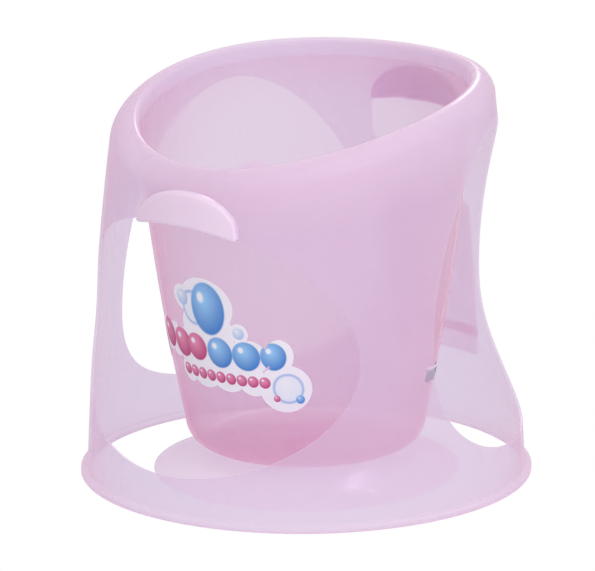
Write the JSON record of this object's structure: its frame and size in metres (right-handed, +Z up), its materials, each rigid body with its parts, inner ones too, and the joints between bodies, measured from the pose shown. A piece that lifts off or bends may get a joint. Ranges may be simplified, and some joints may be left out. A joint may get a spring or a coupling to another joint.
{
  "type": "baby bathtub",
  "caption": "Deep bucket-shaped baby bathtub in clear pink plastic: tapered tub hung in a flared stand with arched windows, half-moon grips and a suction cup base.",
  "frame": {"origin": "centre of the round base, on the surface the tub stands on", "axes": "+Z up; -Y towards the low side of the rim (front window and front grip), +Y towards the high side (rear grip and hand slot)"},
  "size_m": [0.45, 0.45, 0.403],
  "materials": {
    "stand_plastic": "clear pink polypropylene, glossy outside",
    "bucket_plastic": "clear pink polypropylene, glossy inside",
    "grip_plastic": "opaque pale pink, satin gloss",
    "cup_plastic": "clear pink soft vinyl, wet gloss",
    "sticker_film": "white printed film with blue and pink bubbles",
    "label_film": "pale pink printed film"
  },
  "bodies": {
    "tub": {"stand": "stand_plastic", "bucket": "bucket_plastic", "front_grip": "grip_plastic", "rear_grip": "grip_plastic", "front_sticker": "sticker_film", "side_strip_sticker": "sticker_film", "side_seal_sticker": "sticker_film", "instruction_label": "label_film"},
    "cup": {"suction_cup": "cup_plastic"}
  },
  "joints": [
    {"name": "cup_pull_off", "type": "slide", "parent": "tub", "child": "cup", "axis": [0, 0, -1], "range_m": [0, 0.03]}
  ]
}
